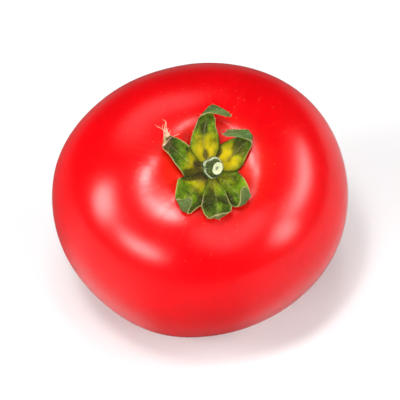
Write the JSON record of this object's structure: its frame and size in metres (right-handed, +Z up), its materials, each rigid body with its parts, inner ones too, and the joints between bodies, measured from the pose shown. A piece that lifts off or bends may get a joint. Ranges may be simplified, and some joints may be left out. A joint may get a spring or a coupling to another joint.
{
  "type": "tomato",
  "caption": "Whole ripe red tomato with its green sepals and a short stub of stem, leaning over on a small flat spot.",
  "frame": {"origin": "middle of the fruit's box, on the surface it rests on", "axes": "+Z up, square to the flat spot; -Y is the side the stem end leans towards; +X to the right seen from there"},
  "size_m": [0.0754, 0.0702, 0.065],
  "materials": {
    "skin": "smooth waxy ripe red skin with soft highlights",
    "calyx_centre": "green, slightly downy, with a yellow tinge",
    "stem": "green with a pale dry cut end",
    "sepals": "green leafy surface, yellow at the foot, fine pale down and dry pale edges"
  },
  "bodies": {
    "root": {"fruit": "skin", "calyx_hub": "calyx_centre", "stem_stub": "stem", "sepal_back": "sepals", "sepal_back_right": "sepals", "sepal_front_right": "sepals", "sepal_front": "sepals", "sepal_front_left": "sepals", "sepal_left": "sepals"}
  },
  "joints": []
}
